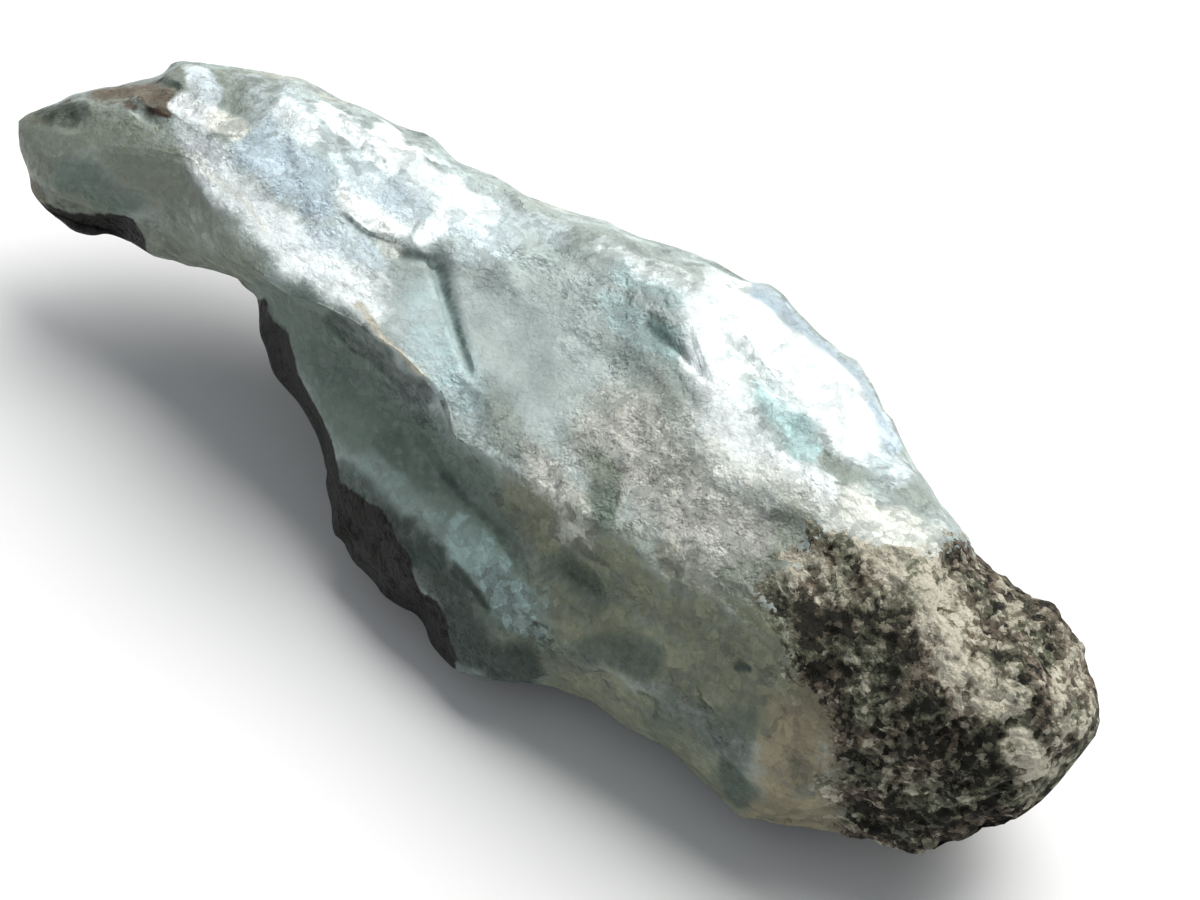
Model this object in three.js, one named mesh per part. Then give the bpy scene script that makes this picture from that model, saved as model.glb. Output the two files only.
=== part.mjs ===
// Rough larimar: one broken piece of pale blue pectolite that ends in dark, pitted basalt.
// Millimetres, +Z up. The origin is on the small flat spot that the stone rests on,
// and +X runs along the stone's length, from its thin head to its basalt end.
import * as THREE from "three";
import { mergeVertices } from "three/addons/utils/BufferGeometryUtils.js";

// The shape is drawn in the frame of its show face, which is the side that is seen in use:
// u runs along the stone, v across the face, and w out of the face towards the eye.
const HEAD_U = -66.8;
const BASALT_U = 57.2;
const HEAD_TIP = [HEAD_U, 0, 0];
const BASALT_TIP = [BASALT_U, -0.5, 0];

// How the show face is turned when the stone lies on its flat spot.
const EYE_DISTANCE = 500;
const EYE_ELEVATION = THREE.MathUtils.degToRad(50);
const FACE_TURN = THREE.MathUtils.degToRad(29.5);
const FACE_LEAN = Math.sin(FACE_TURN) / Math.tan(EYE_ELEVATION);
const HEADING = Math.atan(Math.tan(FACE_TURN) / Math.sin(EYE_ELEVATION));
const REST_SPOT = new THREE.Vector3(12, -12.6, -10.6);

// Mesh density
const ALONG = 90;
const END_CROWDING = 0.2;
const CORNER_SOFTNESS = 0.7;

// The long edges are worn round, but for the sharp lip between these two places.
const SHARP_LIP = [-39, -13];
const LIP_WEAR = 0.25;

// Long edges of the stone as [u, v, w]. Each runs from the head's tip to the basalt's tip.
const TOP = [
  HEAD_TIP, [-66.2, 1.6, -0.3], [-65, 2.6, -0.8], [-64.4, 4, -1], [-63.3, 5.7, -1.5], [-60, 8, -2],
  [-57.8, 9.8, -2.5], [-56.8, 10.6, -2.5], [-55.6, 13.1, -3], [-53, 14.6, -3.5], [-48, 16.2, -4],
  [-44.8, 17.2, -4], [-38, 17.9, -4], [-32, 18.5, -4.5], [-30, 19.4, -4.5], [-26.5, 18.1, -5],
  [-20, 18.8, -5], [-14, 19.2, -5], [-10, 20.2, -5], [-4, 20.8, -5], [0, 21.6, -4.5], [5, 22.1, -4.5],
  [6, 22.7, -4.5], [8.5, 22.6, -4.5], [13, 21.2, -4.5], [18.3, 20.1, -4], [21, 18.7, -4],
  [24, 16.5, -3.5], [30, 13, -3], [33, 11.4, -2.5], [35.5, 10.6, -2], [38, 9.1, -2], [42, 8.8, -2],
  [45, 8.2, -1.5], [47.3, 8.5, -1.5], [50, 7.2, -1], [52.5, 6.3, -0.8], [53.3, 5.2, -0.5],
  [55, 3.6, -0.3], [56.9, 1.4, 0], BASALT_TIP,
];
const CREST = [
  HEAD_TIP, [-65.5, 1, 2.2], [-63.5, 3.2, 3.8], [-60, 5.5, 5.5], [-57, 7.5, 7], [-54, 9, 8.2],
  [-50, 8.5, 10.2], [-44, 8.5, 11.2], [-38, 9, 11.3], [-33, 8.5, 11.2], [-28, 8.2, 10.8],
  [-24, 8.6, 10.2], [-21, 10, 9.4], [-18, 12.3, 8.3], [-15, 14.2, 7.2], [-12, 15.1, 6.6],
  [-7, 15.6, 6.4], [-3, 16.6, 6], [0.5, 17, 6.6], [2.5, 15, 8.8], [5.5, 12.6, 11], [8.5, 10, 12.3],
  [10.5, 7.6, 13.4], [15, 6.4, 14.2], [20, 5.7, 14.4], [24, 5.2, 14.2], [30, 5.5, 13.2],
  [35, 4, 13.8], [40, 0.8, 14.4], [45, -0.5, 12.8], [50, -1, 9.5], [54, -0.8, 5.5],
  [56.5, -0.6, 2.2], BASALT_TIP,
];
const RIDGE = [
  HEAD_TIP, [-65.5, -0.3, 2.3], [-63.5, 0.3, 4.2], [-60, 1, 6], [-57, 2, 7.6], [-54, 3.6, 9],
  [-50, 4.8, 10.6], [-45, 1.9, 11.6], [-41, -0.1, 12], [-38, -1, 12.2], [-34, -0.9, 12.8],
  [-28, -0.8, 13.4], [-22, -1.4, 13.8], [-16.5, -3.6, 13.8], [-13.5, -6.3, 13.6], [-8, -6.4, 14.2],
  [-3, -6.4, 15], [2, -6.8, 15.8], [8, -6.9, 16.4], [14, -5.8, 16.8], [20, -6.2, 17],
  [26, -7.8, 17.2], [32, -9, 16.8], [38, -9, 15.8], [44, -8.5, 13.6], [50, -7, 9.8], [54, -5, 5.8],
  [56.4, -2.5, 2.2], BASALT_TIP,
];
const LIP = [
  HEAD_TIP, [-65.5, -1.3, 2.2], [-63.5, -1.8, 3.9], [-60, -2.3, 5.2], [-55, -1.2, 6.8],
  [-50, 0.6, 8.2], [-45, -0.6, 9], [-41, -1.5, 9], [-38.5, -1.9, 8.8], [-34, -1.8, 8.8],
  [-30, -1.8, 9.2], [-24, -2.6, 9.6], [-19, -4, 10.2], [-15.5, -5.4, 10.9], [-13.5, -7.6, 11.6],
  [-8, -8.2, 12.6], [-3, -8.4, 13.6], [2, -9.6, 14.3], [8, -10, 15], [14, -9.4, 15.5],
  [20, -9.8, 15.6], [26, -11, 15.6], [32, -11.8, 15], [38, -12, 13.8], [44, -11, 11.6],
  [50, -9.2, 8.2], [54, -6.6, 4.8], [56.4, -3.4, 1.8], BASALT_TIP,
];
const VALLEY = [
  HEAD_TIP, [-65.4, -1.9, 1.5], [-63.5, -3, 2.8], [-60, -4.4, 3.6], [-55, -3.4, 4.2],
  [-50, -2.6, 4.8], [-44, -2.4, 4.8], [-38.5, -2.4, 5], [-36, -2.9, 5.6], [-32, -4.2, 6.2],
  [-28, -5.5, 6.8], [-22, -7.5, 7.6], [-16.5, -8.7, 8.2], [-12, -10.3, 8.6], [-8, -11.5, 9],
  [-4, -12.3, 9.6], [-0.5, -14, 10.4], [5, -14, 11.6], [12, -13.5, 12.8], [20, -14, 13.4],
  [28, -15.5, 12.8], [36, -15.5, 11.4], [42, -14.5, 9.6], [48, -12, 6.8], [53, -8.8, 3.8],
  [56.4, -4.6, 1.2], BASALT_TIP,
];
const LOWER_EDGE = [
  HEAD_TIP, [-65.4, -2.3, 0.7], [-63.5, -4, 1.3], [-60, -5.2, 1.6], [-57, -4.6, 1.6],
  [-54, -3.9, 1.6], [-51.5, -4.6, 1.6], [-48.3, -5, 1.4], [-44, -3.6, 1.6], [-38.5, -2.9, 1.8],
  [-36.5, -3.4, 2.2], [-35, -4.6, 2.6], [-33, -5.6, 3.2], [-30, -8.2, 4], [-27, -10.2, 4.6],
  [-24, -12.1, 5.2], [-20, -13.6, 6], [-13, -15.5, 7.2], [-10, -16.6, 7.6], [-6.5, -17.4, 8],
  [-3, -18.5, 8.2], [0, -19.4, 8.2], [4, -20, 8], [8, -20.6, 7.4], [14, -19.8, 7.4], [20, -20, 7.4],
  [28, -21.6, 6.8], [34, -20.6, 6.2], [42, -18, 4.6], [48, -15.6, 3], [53, -11.4, 1.6],
  [56.2, -6, 0.5], BASALT_TIP,
];
const BOTTOM = [
  HEAD_TIP, [-66.2, -1.2, -0.2], [-65.4, -2.6, -0.4], [-63.9, -3.7, -0.6], [-63, -5, -0.8],
  [-61.5, -5.9, -1], [-59.7, -6.5, -1], [-57.8, -6.6, -1], [-56.3, -6.9, -1], [-55, -6.3, -1.2],
  [-51, -5.4, -1.4], [-48.3, -5.5, -1.4], [-45, -4.5, -1.6], [-43, -3.9, -1.8], [-40.5, -3.4, -1.8],
  [-38.3, -3.2, -2], [-37.1, -3.5, -2], [-36.6, -4.6, -2], [-36.2, -6.2, -2], [-35.8, -7, -2],
  [-34.2, -7.7, -2], [-33.5, -8.5, -2], [-32, -9.4, -2], [-27, -11.5, -2], [-25, -12.7, -1.8],
  [-23.5, -14.2, -1.6], [-23, -15.4, -1.6], [-21.3, -17.2, -1.5], [-20, -18.3, -1.5],
  [-19, -20, -1.4], [-16.2, -22, -1.2], [-13, -22.7, -1], [-11, -23.2, -0.8], [-7, -23.8, -0.6],
  [-5.5, -25, -0.4], [-2, -25.9, -0.2], [0, -25.8, -0.2], [3, -25, -0.2], [5, -23.8, -0.4],
  [7, -22.9, -0.5], [12, -22.5, -0.6], [20, -22.7, -0.8], [23, -23.6, -0.8], [25, -24.2, -0.8],
  [30, -25, -0.8], [33, -24.4, -0.8], [35, -23.6, -0.8], [36.5, -22.8, -0.8], [40, -21.4, -1],
  [42.5, -20.5, -1], [46.2, -19.7, -1], [48, -18.9, -1], [49.5, -17.5, -0.8], [50.5, -16, -0.8],
  [52.5, -14.3, -0.6], [53.8, -12.8, -0.6], [54.6, -11.5, -0.5], [55.9, -8.5, -0.4],
  [56.4, -6.4, -0.2], [56.8, -3.4, 0], BASALT_TIP,
];
const NEAR_FOOT = [
  HEAD_TIP, [-63.5, -2.6, -2.6], [-58, -4.2, -4.6], [-50, -3.6, -6.5], [-42, -2.2, -7.8],
  [-37, -2.4, -8.4], [-34, -5, -8.8], [-28, -8.5, -9.8], [-20, -14.6, -10.4], [-12, -18, -11],
  [-4, -20, -11.2], [4, -19.6, -11.4], [12, -18.8, -11.8], [20, -18.8, -11.8], [30, -20, -11.2],
  [38, -17.5, -11.2], [46, -13, -9.6], [52, -8.5, -7], [56, -3.5, -2.6], BASALT_TIP,
];
const FAR_FOOT = [
  HEAD_TIP, [-63.5, 0.2, -4], [-58, 0.5, -7.2], [-50, 2, -10.5], [-42, 3, -13], [-34, 1.5, -15],
  [-28, -1, -16.5], [-20, -4, -18.4], [-12, -5.5, -20.2], [-4, -6.2, -21], [4, -6.4, -21.2],
  [12, -6.2, -21.4], [20, -6.4, -21.2], [30, -7, -20.6], [38, -6.5, -18.6], [46, -5, -14.6],
  [52, -3.4, -9.6], [56, -1.6, -3.4], BASALT_TIP,
];
const SHOULDER = [
  HEAD_TIP, [-63.5, 3.6, -3.2], [-58, 7.6, -6], [-50, 12.5, -8.8], [-42, 14, -11], [-34, 14.5, -12.4],
  [-26, 13.5, -13.4], [-18, 14, -14], [-10, 15, -14.6], [-2, 15.5, -15], [6, 15.5, -15.2],
  [14, 13.5, -15.4], [22, 10.5, -15.2], [30, 7.5, -14.6], [38, 4.5, -13.4], [46, 3.2, -10.6],
  [52, 2, -7], [56, 0.6, -2.6], BASALT_TIP,
];

// Faces between neighbouring edges: how many columns of the mesh each has,
// and how far it bows out as a share of its width. Two of them start at the face's outline,
// where the stone isn't worn.
const FACES = [
  { from: TOP, to: CREST, columns: 8, bow: 0.11, outline: true },
  { from: CREST, to: RIDGE, columns: 9, bow: 0 },
  { from: RIDGE, to: LIP, columns: 2, bow: 0 },
  { from: LIP, to: VALLEY, columns: 4, bow: -0.04 },
  { from: VALLEY, to: LOWER_EDGE, columns: 4, bow: 0.05 },
  { from: LOWER_EDGE, to: BOTTOM, columns: 4, bow: 0.06 },
  { from: BOTTOM, to: NEAR_FOOT, columns: 5, bow: 0.08, outline: true },
  { from: NEAR_FOOT, to: FAR_FOOT, columns: 6, bow: 0 },
  { from: FAR_FOOT, to: SHOULDER, columns: 7, bow: 0.07 },
  { from: SHOULDER, to: TOP, columns: 5, bow: 0.1 },
];
const AROUND = FACES.reduce((sum, face) => sum + face.columns, 0);

// Relief on the show face. Paths and centres are [u, v].
const GROOVES = [
  { path: [[-26.5, 7.2], [-23.4, 8.1]], width: 1.2, depth: 0.9 },
  { path: [[-23.4, 8.4], [-19.2, 4.6], [-15, 0.4]], width: 1.5, depth: 1.9 },
  { path: [[-1.8, 13.2], [2, 12.6], [5.5, 11.5]], width: 1.4, depth: 1.3 },
  { path: [[-12, -10.2], [-5, -12.1], [-0.4, -14.8]], width: 1.8, depth: 1.1 },
  { path: [[53.8, -4.6], [57.4, -4]], width: 2, depth: 0.8 },
];
const LEDGES = [
  { path: [[-41, 16.4], [-36, 15.3], [-32.4, 13.8]], drop: 1.3, reach: 3 },
  { path: [[-34, 16.4], [-25, 16.1], [-20, 16.9], [-15, 15.8]], drop: -1.1, reach: 3 },
  { path: [[-35, 8.2], [-31, 7.4], [-26.5, 8.6]], drop: 0.6, reach: 2.4 },
  { path: [[2, 15], [4, 13.2], [6.5, 11.3]], drop: 0.8, reach: 2.4 },
  { path: [[5.5, 17.4], [10.5, 15.6], [17, 13.7]], drop: 1.1, reach: 3 },
  { path: [[11.8, 13.4], [13.4, 10.8], [18, 9.6]], drop: -1, reach: 2.6 },
  { path: [[18.4, 11], [19.6, 8.6], [24, 8.3], [27, 9.6]], drop: -1.2, reach: 2.6 },
  { path: [[-2, -18.2], [4, -18.4], [8, -20], [13, -19.4], [17, -18.5]], drop: 1.1, reach: 2.4 },
  { path: [[1.5, -12.4], [5, -11.2], [8, -12.6]], drop: 0.9, reach: 2 },
  { path: [[20, -16], [23, -17], [28, -18.6]], drop: 0.9, reach: 2.2 },
];
const HOLLOWS = [
  { at: [-62.4, 3], size: [2.3, 2], depth: 0.9 },
  { at: [-56.6, 7.1], size: [2.6, 1], depth: 0.8 },
  { at: [-49.2, 12.2], size: [1.9, 2.2], depth: 1.2 },
  { at: [-52.2, 12], size: [1.8, 2], depth: -0.8 },
  { at: [-28.6, 9.6], size: [1.8, 1.1], depth: 0.8 },
  { at: [-41, 9.2], size: [5.5, 3.6], depth: 0.7 },
  { at: [-18, 7], size: [7, 5.5], depth: 0.9 },
  { at: [15.2, 12], size: [3, 2], depth: 0.9 },
  { at: [21.8, 10.6], size: [3, 2.2], depth: 1 },
  { at: [4.6, -12.8], size: [3.4, 2], depth: 0.8 },
  { at: [45, -8.5], size: [5, 3.4], depth: 1.4 },
];

// Where the basalt starts on the show face, as [v, u], and how soft that border is.
const BASALT_BORDER = [
  [-26, 41], [-19, 37.5], [-15, 36.5], [-12, 33], [-10, 28.5], [-7, 25], [-5, 22], [0, 21.5],
  [4.5, 24], [7, 33.5], [12, 38],
];
const BORDER_SOFTNESS = 2;

// Lumps of the broken surface: wave length and height in millimetres.
const STONE_LUMPS = [[13, 0.8], [6, 0.5]];
const BASALT_LUMPS = [[8, 1], [4.4, 1]];
const BACK_LUMPS = [[17, 1.5], [7.5, 0.7]];
const BACK_STEP = 0.9;
const OUTLINE_CALM = 0.35;
const END_FADE = 4;

const lerp = THREE.MathUtils.lerp;
const smoothstep = THREE.MathUtils.smoothstep;

// Value of a line of [x, ...values] at x, by straight stretches.
function along(line, x, column) {
  let next = line.findIndex((point) => point[0] > x);
  if (next < 0) next = line.length - 1;
  next = Math.max(next, 1);
  const [a, b] = [line[next - 1], line[next]];
  const share = THREE.MathUtils.clamp((x - a[0]) / (b[0] - a[0]), 0, 1);
  return lerp(a[column], b[column], share);
}

// The same with the corners between the stretches rounded, except at the two tips.
function softAlong(line, x, column) {
  const reach = Math.min(CORNER_SOFTNESS, x - line[0][0], line[line.length - 1][0] - x);
  const [before, at, after] = [-reach, 0, reach].map((step) => along(line, x + step, column));
  return (before + 2 * at + after) / 4;
}

// Repeatable noise from -1 to 1 that changes over a length of 1.
function hash(i, j, k) {
  const wave = Math.sin(i * 127.1 + j * 311.7 + k * 74.7) * 43758.5453;
  return wave - Math.floor(wave);
}

function noise(x, y, z) {
  const [i, j, k] = [x, y, z].map(Math.floor);
  const [a, b, c] = [x - i, y - j, z - k].map((f) => f * f * (3 - 2 * f));
  const edge = (dj, dk) => lerp(hash(i, j + dj, k + dk), hash(i + 1, j + dj, k + dk), a);
  return 2 * lerp(lerp(edge(0, 0), edge(1, 0), b), lerp(edge(0, 1), edge(1, 1), b), c) - 1;
}

function lumps(waves, p) {
  const wave = ([length, height]) => height * noise(p.x / length, p.y / length, p.z / length);
  return waves.reduce((sum, pair) => sum + wave(pair), 0);
}

// Flattens a height into treads with soft risers between them.
function terraced(height, step) {
  const level = Math.floor(height / step);
  return step * (level + smoothstep(height / step - level, 0.25, 0.75));
}

// Nearest place on a path: its distance, its share of the path's length,
// and the side it is seen from, 1 on the left and -1 on the right.
function nearest(path, u, v) {
  let best = { distance: Infinity, side: 1, share: 0 };
  for (let n = 1; n < path.length; n++) {
    const [[au, av], [bu, bv]] = [path[n - 1], path[n]];
    const [du, dv] = [bu - au, bv - av];
    const t = THREE.MathUtils.clamp(((u - au) * du + (v - av) * dv) / (du * du + dv * dv), 0, 1);
    const [ou, ov] = [u - au - t * du, v - av - t * dv];
    const distance = Math.hypot(ou, ov);
    const side = du * ov - dv * ou < 0 ? -1 : 1;
    const share = (n - 1 + t) / (path.length - 1);
    if (distance < best.distance) best = { distance, side, share };
  }
  return best;
}

// A cut with a rounded bottom, widest at the path's start.
function grooveHeight({ path, width, depth }, u, v) {
  const { distance, share } = nearest(path, u, v);
  const taper = 1 - 0.6 * share;
  return -depth * taper * smoothstep(1 - distance / (width * taper), 0, 1);
}

// A scarp: the ground on the path's right drops, and comes back to level over the reach.
// It fades out towards both ends of its path.
function ledgeHeight({ path, drop, reach }, u, v) {
  const { distance, side, share } = nearest(path, u, v);
  const ends = smoothstep(share, 0, 0.3) * smoothstep(1 - share, 0, 0.3);
  return side < 0 ? -drop * ends * Math.exp(-distance / reach) : 0;
}

function hollowHeight({ at, size, depth }, u, v) {
  const r = ((u - at[0]) / size[0]) ** 2 + ((v - at[1]) / size[1]) ** 2;
  return r < 1 ? -depth * (1 - r) ** 2 : 0;
}

function basaltShare(u, v, w) {
  const border = along(BASALT_BORDER, v, 1) + 1.5 * noise(u / 3, v / 3, w / 3);
  return smoothstep(u - border, -BORDER_SOFTNESS, BORDER_SOFTNESS);
}

function faceRelief(u, v) {
  const add = (list, height) => list.reduce((sum, feature) => sum + height(feature, u, v), 0);
  return add(GROOVES, grooveHeight) + add(LEDGES, ledgeHeight) + add(HOLLOWS, hollowHeight);
}

// Share of an edge's sharpness that is worn off at u.
function wear(u) {
  const [start, end] = SHARP_LIP;
  const sharp = smoothstep(u, start - 3, start) * smoothstep(-u, -end - 3, -end);
  return lerp(1, LIP_WEAR, sharp);
}

// One ring of the stone at u, as points [u, v, w]. The outline of the show face isn't worn.
function ring(u) {
  const points = [];
  for (const { from, to, columns, bow, outline } of FACES) {
    const [startV, startW] = [softAlong(from, u, 1), softAlong(from, u, 2)];
    const [endV, endW] = [softAlong(to, u, 1), softAlong(to, u, 2)];
    for (let n = 0; n < columns; n++) {
      const t = n / columns;
      const out = bow * 4 * t * (1 - t);
      const v = lerp(startV, endV, t) + out * (endW - startW);
      const w = lerp(startW, endW, t) - out * (endV - startV);
      points.push({ v, w, wear: outline && n === 0 ? 0 : wear(u) });
    }
  }
  return points.map((point, n) => {
    const [before, after] = [points.at(n - 1), points[(n + 1) % AROUND]];
    const mean = (key) => (before[key] + 2 * point[key] + after[key]) / 4;
    return [u, lerp(point.v, mean("v"), point.wear), lerp(point.w, mean("w"), point.wear)];
  });
}

function stationU(row) {
  const t = row / ALONG;
  const crowded = t - (END_CROWDING * Math.sin(2 * Math.PI * t)) / (2 * Math.PI);
  return lerp(HEAD_U, BASALT_U, crowded);
}

// Turns a point of the show face to the way the stone lies.
function laid(point) {
  const w = point.z + FACE_LEAN * point.x;
  const nearer = (EYE_DISTANCE - w) / EYE_DISTANCE;
  return new THREE.Vector3(point.x * nearer, point.y * nearer, w)
    .sub(REST_SPOT)
    .applyAxisAngle(new THREE.Vector3(0, 0, 1), -FACE_TURN)
    .applyAxisAngle(new THREE.Vector3(1, 0, 0), Math.PI / 2 - EYE_ELEVATION)
    .applyAxisAngle(new THREE.Vector3(0, 0, 1), HEADING);
}

// The bare faces: a sphere's mesh with its poles at the two tips, drawn out to the rings.
function bareStone() {
  const geometry = new THREE.SphereGeometry(1, AROUND, ALONG);
  const position = geometry.getAttribute("position");
  for (let row = 0; row <= ALONG; row++) {
    const points = ring(stationU(row));
    for (let column = 0; column <= AROUND; column++) {
      position.setXYZ(row * (AROUND + 1) + column, ...points[(AROUND - column) % AROUND]);
    }
  }
  geometry.deleteAttribute("uv");
  geometry.deleteAttribute("normal");
  const skin = mergeVertices(geometry, 1e-4);
  skin.computeVertexNormals();
  return skin;
}

// How far a point of the bare stone moves out along its normal.
function surfaceHeight(p, out) {
  const facing = smoothstep(out.z, 0.05, 0.45);
  const behind = smoothstep(-out.z, 0, 0.4);
  const calm = lerp(OUTLINE_CALM, 1, smoothstep(Math.abs(out.z), 0.1, 0.6));
  const ends = smoothstep(Math.min(p.x - HEAD_U, BASALT_U - p.x), 0, END_FADE);
  const stone = lerp(lumps(STONE_LUMPS, p), terraced(lumps(BACK_LUMPS, p), BACK_STEP), behind);
  const rough = lerp(stone, lumps(BASALT_LUMPS, p), basaltShare(p.x, p.y, p.z));
  return ends * (facing * faceRelief(p.x, p.y) + calm * rough);
}

function stone() {
  const skin = bareStone();
  const position = skin.getAttribute("position");
  const normal = skin.getAttribute("normal");
  for (let n = 0; n < position.count; n++) {
    const p = new THREE.Vector3().fromBufferAttribute(position, n);
    const out = new THREE.Vector3().fromBufferAttribute(normal, n);
    p.addScaledVector(out, surfaceHeight(p, out));
    const rested = laid(p);
    rested.z = Math.max(rested.z, 0);
    position.setXYZ(n, ...rested);
  }
  skin.computeVertexNormals();
  const larimar = new THREE.MeshStandardMaterial({ color: 0xb4c4c2, roughness: 0.5, metalness: 0 });
  const mesh = new THREE.Mesh(skin, larimar);
  mesh.name = "larimar_stone";
  return mesh;
}

const part = new THREE.Group();
part.add(stone());
export default part;
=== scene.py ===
"""Rough larimar: the stone's fine broken surface, its colours, the light and the camera."""

import math

import bpy
import numpy as np
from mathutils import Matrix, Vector


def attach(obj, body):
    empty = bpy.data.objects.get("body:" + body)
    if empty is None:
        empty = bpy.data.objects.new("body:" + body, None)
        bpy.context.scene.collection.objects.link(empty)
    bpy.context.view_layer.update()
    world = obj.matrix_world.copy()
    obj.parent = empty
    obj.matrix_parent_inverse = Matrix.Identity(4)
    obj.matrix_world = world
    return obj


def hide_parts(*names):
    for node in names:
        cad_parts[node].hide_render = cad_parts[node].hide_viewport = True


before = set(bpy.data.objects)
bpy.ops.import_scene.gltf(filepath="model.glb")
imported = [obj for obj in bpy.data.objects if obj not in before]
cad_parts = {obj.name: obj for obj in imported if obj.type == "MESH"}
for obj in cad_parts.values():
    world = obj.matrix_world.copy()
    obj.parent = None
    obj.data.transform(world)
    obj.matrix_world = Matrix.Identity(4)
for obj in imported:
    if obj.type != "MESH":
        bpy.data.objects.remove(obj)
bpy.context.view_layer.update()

MM = 0.001

# The show face's frame in millimetres: u runs along the stone, v across the face, w towards the
# eye. The picture's width is what the eye sees at the level of the face.
HEAD_U = -66.8
BASALT_U = 57.2
HEAD_TIP = (HEAD_U, 0, 0)
BASALT_TIP = (BASALT_U, -0.5, 0)
EYE_DISTANCE = 500
PICTURE_WIDTH = 120
EYE_ELEVATION = math.radians(50)
FACE_TURN = math.radians(29.5)
FACE_LEAN = math.sin(FACE_TURN) / math.tan(EYE_ELEVATION)
HEADING = math.atan(math.tan(FACE_TURN) / math.sin(EYE_ELEVATION))
REST_SPOT = np.array((12, -12.6, -10.6))

# Mesh density: rows along the stone, and mesh columns for each column of the solid.
ROWS = 320
FRONT_FINENESS = 7
BACK_FINENESS = 4
END_CROWDING = 0.2
CORNER_SOFTNESS = 0.7

# The long edges are worn round, but for the sharp lip between these two places.
SHARP_LIP = (-39, -13)
LIP_WEAR = 0.25

# Long edges of the stone as (u, v, w). Each runs from the head's tip to the basalt's tip.
TOP = (
    HEAD_TIP, (-66.2, 1.6, -0.3), (-65, 2.6, -0.8), (-64.4, 4, -1), (-63.3, 5.7, -1.5), (-60, 8, -2),
    (-57.8, 9.8, -2.5), (-56.8, 10.6, -2.5), (-55.6, 13.1, -3), (-53, 14.6, -3.5), (-48, 16.2, -4),
    (-44.8, 17.2, -4), (-38, 17.9, -4), (-32, 18.5, -4.5), (-30, 19.4, -4.5), (-26.5, 18.1, -5),
    (-20, 18.8, -5), (-14, 19.2, -5), (-10, 20.2, -5), (-4, 20.8, -5), (0, 21.6, -4.5), (5, 22.1, -4.5),
    (6, 22.7, -4.5), (8.5, 22.6, -4.5), (13, 21.2, -4.5), (18.3, 20.1, -4), (21, 18.7, -4),
    (24, 16.5, -3.5), (30, 13, -3), (33, 11.4, -2.5), (35.5, 10.6, -2), (38, 9.1, -2), (42, 8.8, -2),
    (45, 8.2, -1.5), (47.3, 8.5, -1.5), (50, 7.2, -1), (52.5, 6.3, -0.8), (53.3, 5.2, -0.5),
    (55, 3.6, -0.3), (56.9, 1.4, 0), BASALT_TIP,
)
CREST = (
    HEAD_TIP, (-65.5, 1, 2.2), (-63.5, 3.2, 3.8), (-60, 5.5, 5.5), (-57, 7.5, 7), (-54, 9, 8.2),
    (-50, 8.5, 10.2), (-44, 8.5, 11.2), (-38, 9, 11.3), (-33, 8.5, 11.2), (-28, 8.2, 10.8),
    (-24, 8.6, 10.2), (-21, 10, 9.4), (-18, 12.3, 8.3), (-15, 14.2, 7.2), (-12, 15.1, 6.6),
    (-7, 15.6, 6.4), (-3, 16.6, 6), (0.5, 17, 6.6), (2.5, 15, 8.8), (5.5, 12.6, 11), (8.5, 10, 12.3),
    (10.5, 7.6, 13.4), (15, 6.4, 14.2), (20, 5.7, 14.4), (24, 5.2, 14.2), (30, 5.5, 13.2),
    (35, 4, 13.8), (40, 0.8, 14.4), (45, -0.5, 12.8), (50, -1, 9.5), (54, -0.8, 5.5),
    (56.5, -0.6, 2.2), BASALT_TIP,
)
RIDGE = (
    HEAD_TIP, (-65.5, -0.3, 2.3), (-63.5, 0.3, 4.2), (-60, 1, 6), (-57, 2, 7.6), (-54, 3.6, 9),
    (-50, 4.8, 10.6), (-45, 1.9, 11.6), (-41, -0.1, 12), (-38, -1, 12.2), (-34, -0.9, 12.8),
    (-28, -0.8, 13.4), (-22, -1.4, 13.8), (-16.5, -3.6, 13.8), (-13.5, -6.3, 13.6), (-8, -6.4, 14.2),
    (-3, -6.4, 15), (2, -6.8, 15.8), (8, -6.9, 16.4), (14, -5.8, 16.8), (20, -6.2, 17),
    (26, -7.8, 17.2), (32, -9, 16.8), (38, -9, 15.8), (44, -8.5, 13.6), (50, -7, 9.8), (54, -5, 5.8),
    (56.4, -2.5, 2.2), BASALT_TIP,
)
LIP = (
    HEAD_TIP, (-65.5, -1.3, 2.2), (-63.5, -1.8, 3.9), (-60, -2.3, 5.2), (-55, -1.2, 6.8),
    (-50, 0.6, 8.2), (-45, -0.6, 9), (-41, -1.5, 9), (-38.5, -1.9, 8.8), (-34, -1.8, 8.8),
    (-30, -1.8, 9.2), (-24, -2.6, 9.6), (-19, -4, 10.2), (-15.5, -5.4, 10.9), (-13.5, -7.6, 11.6),
    (-8, -8.2, 12.6), (-3, -8.4, 13.6), (2, -9.6, 14.3), (8, -10, 15), (14, -9.4, 15.5),
    (20, -9.8, 15.6), (26, -11, 15.6), (32, -11.8, 15), (38, -12, 13.8), (44, -11, 11.6),
    (50, -9.2, 8.2), (54, -6.6, 4.8), (56.4, -3.4, 1.8), BASALT_TIP,
)
VALLEY = (
    HEAD_TIP, (-65.4, -1.9, 1.5), (-63.5, -3, 2.8), (-60, -4.4, 3.6), (-55, -3.4, 4.2),
    (-50, -2.6, 4.8), (-44, -2.4, 4.8), (-38.5, -2.4, 5), (-36, -2.9, 5.6), (-32, -4.2, 6.2),
    (-28, -5.5, 6.8), (-22, -7.5, 7.6), (-16.5, -8.7, 8.2), (-12, -10.3, 8.6), (-8, -11.5, 9),
    (-4, -12.3, 9.6), (-0.5, -14, 10.4), (5, -14, 11.6), (12, -13.5, 12.8), (20, -14, 13.4),
    (28, -15.5, 12.8), (36, -15.5, 11.4), (42, -14.5, 9.6), (48, -12, 6.8), (53, -8.8, 3.8),
    (56.4, -4.6, 1.2), BASALT_TIP,
)
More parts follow.
